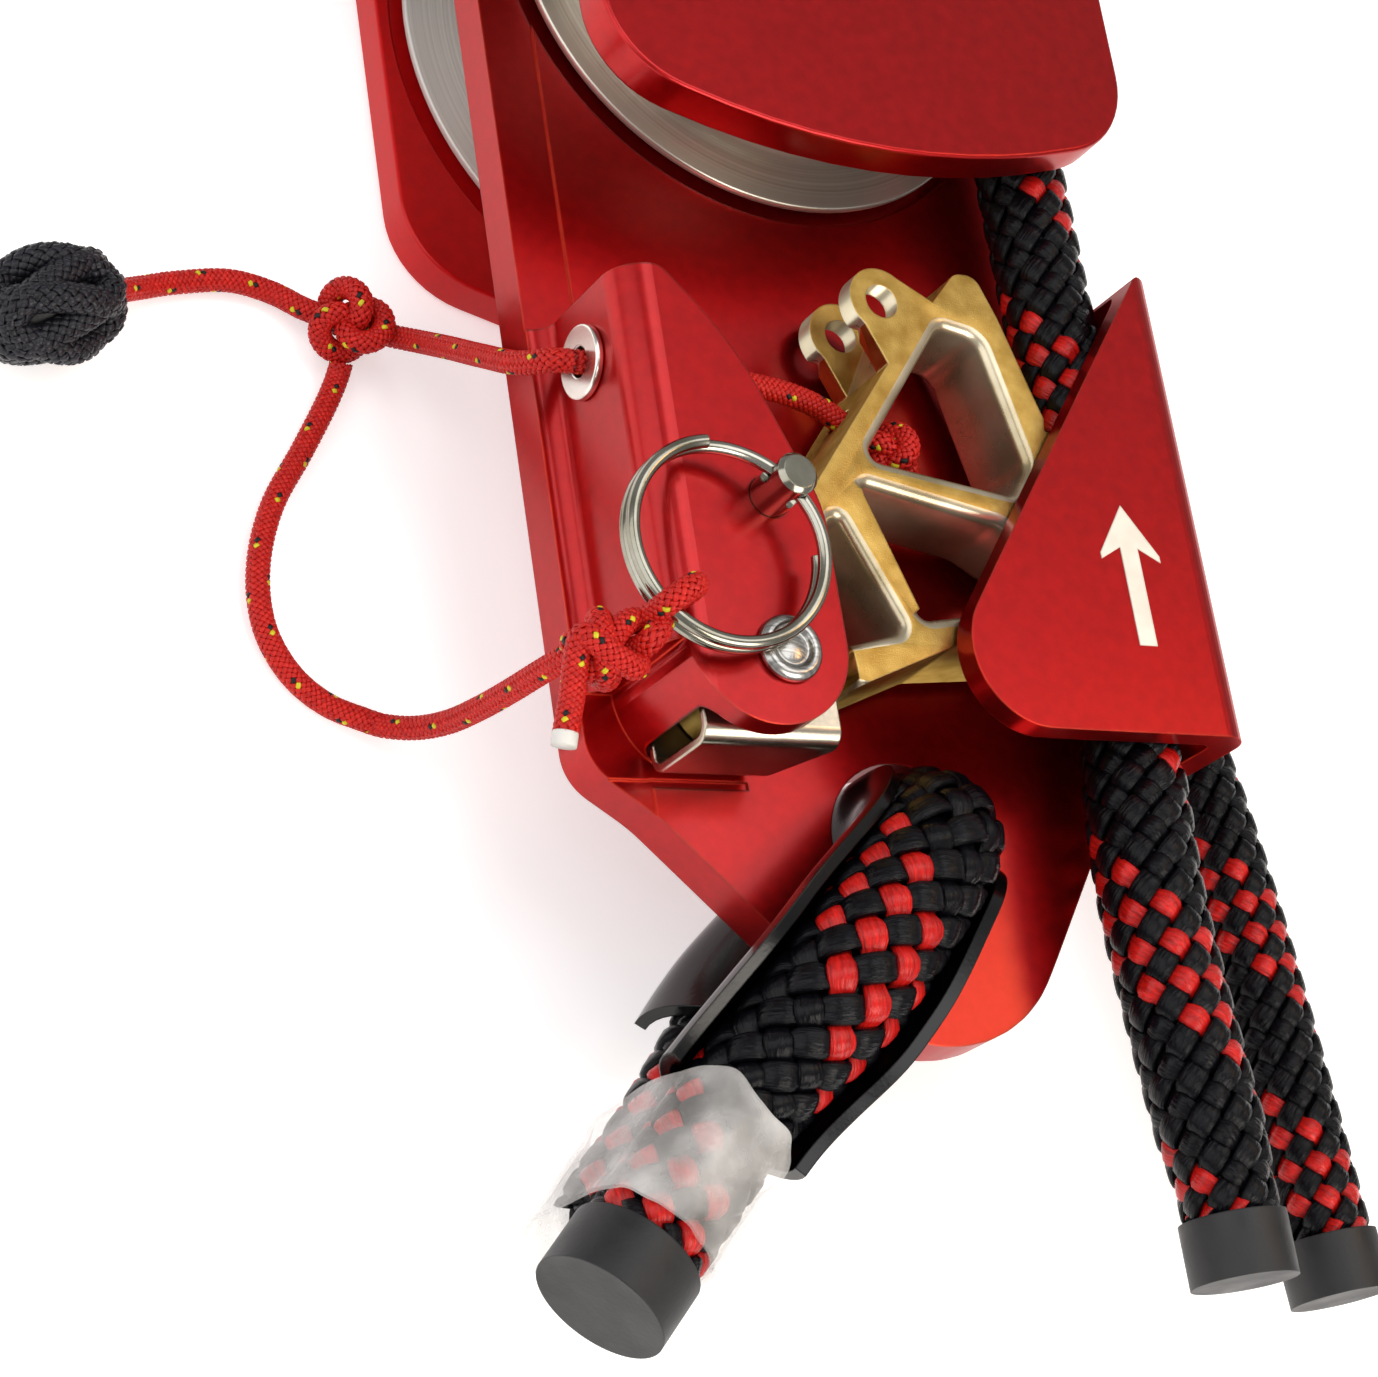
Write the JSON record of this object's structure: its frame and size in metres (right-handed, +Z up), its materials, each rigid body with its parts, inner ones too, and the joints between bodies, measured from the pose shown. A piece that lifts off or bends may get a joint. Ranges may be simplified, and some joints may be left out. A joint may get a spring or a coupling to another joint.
{
  "type": "rope-grab pulley block",
  "caption": "Double hauling pulley block with a toothed cam that grabs the rope, hinged cheek plates, ball-bearing sheaves, a becket eye and a release cord.",
  "frame": {"origin": "middle of the block's box, without its cords and ropes, on the floor under the rear cheek's back", "axes": "+Y along the plates towards the anchor holes, +Z up out of the front cheek's face, +X towards the rope channel"},
  "size_m": [0.1546, 0.2295, 0.0518],
  "materials": {
    "red_anodised": "satin red anodised aluminium with bright rubbed edges",
    "white_print": "thin white print",
    "steel": "turned steel",
    "polished_sheave": "turned and polished aluminium",
    "dark_steel": "dark spring steel",
    "gold_cam": "gold plated casting, worn bright in its windows",
    "bright_sheet": "bent bright sheet steel",
    "chrome_wire": "polished stainless wire and rod",
    "nickel": "pale nickel plate",
    "red_cord": "braided red cord with yellow and black flecks",
    "black_knob": "black knotted cord",
    "rope": "black braided rope with red flecks",
    "sealed_end": "heat sealed rope end",
    "thimble_plastic": "black moulded plastic",
    "clear_sleeve": "clear shrunk plastic"
  },
  "bodies": {
    "frame": {"main_plate": "red_anodised", "cam_channel": "red_anodised", "rope_channel": "red_anodised", "direction_arrow": "white_print", "sheave_axle": "steel", "front_inner_race": "steel", "front_balls": "steel", "front_spacers": "steel", "rear_inner_race": "steel", "rear_balls": "steel", "rear_spacers": "steel", "cam_axle": "steel", "cam_washers": "steel", "cam_clip": "bright_sheet", "cam_spring": "dark_steel", "cord_eyelet": "nickel", "release_cord": "red_cord", "loop_cord": "red_cord", "inner_cord": "red_cord", "loop_knot": "red_cord", "pull_knob": "black_knob", "front_rope": "rope", "rear_rope": "rope", "front_rope_caps": "sealed_end", "rear_rope_caps": "sealed_end", "becket_eye": "rope", "thimble": "thimble_plastic", "eye_sleeve": "clear_sleeve", "eye_cap": "sealed_end"},
    "front_cheek": {"front_cheek": "red_anodised"},
    "rear_cheek": {"rear_cheek": "red_anodised"},
    "front_wheel": {"front_sheave": "polished_sheave", "front_outer_race": "steel", "front_shields": "dark_steel", "front_retaining_rings": "dark_steel"},
    "rear_wheel": {"rear_sheave": "polished_sheave", "rear_outer_race": "steel", "rear_shields": "dark_steel", "rear_retaining_rings": "dark_steel"},
    "cam": {"cam": "gold_cam", "stopper_knot": "red_cord"},
    "pin": {"lock_pin": "chrome_wire", "ring_cord": "red_cord"},
    "ring": {"split_ring": "chrome_wire", "ring_hitch": "red_cord"}
  },
  "joints": [
    {"name": "front_cheek_swing", "type": "hinge", "parent": "frame", "child": "front_cheek", "pos_m": [0.0011, 0.03603, 0], "axis": [0, 0, 1], "range_deg": [0, 90]},
    {"name": "rear_cheek_swing", "type": "hinge", "parent": "frame", "child": "rear_cheek", "pos_m": [0.0011, 0.03603, 0], "axis": [0, 0, 1], "range_deg": [0, 90]},
    {"name": "front_sheave_spin", "type": "hinge", "parent": "frame", "child": "front_wheel", "pos_m": [0.0011, 0.03603, 0], "axis": [0, 0, 1], "continuous": true},
    {"name": "rear_sheave_spin", "type": "hinge", "parent": "frame", "child": "rear_wheel", "pos_m": [0.0011, 0.03603, 0], "axis": [0, 0, 1], "continuous": true},
    {"name": "cam_pivot", "type": "hinge", "parent": "frame", "child": "cam", "pos_m": [-0.0216, -0.06097, 0], "axis": [0, 0, 1], "range_deg": [0, 10.5], "stiffness_Nm_per_rad": 0.15, "springref_deg": -28.65, "deforming": ["cam_spring", "inner_cord"]},
    {"name": "lock_pin_pull", "type": "slide", "parent": "frame", "child": "pin", "axis": [0, 0, 1], "range_m": [0, 0.016]},
    {"name": "ring_swing", "type": "hinge", "parent": "pin", "child": "ring", "pos_m": [-0.0208, -0.04337, 0.0489], "axis": [-0.667, 0.745, 0], "range_deg": [0, 100]}
  ]
}
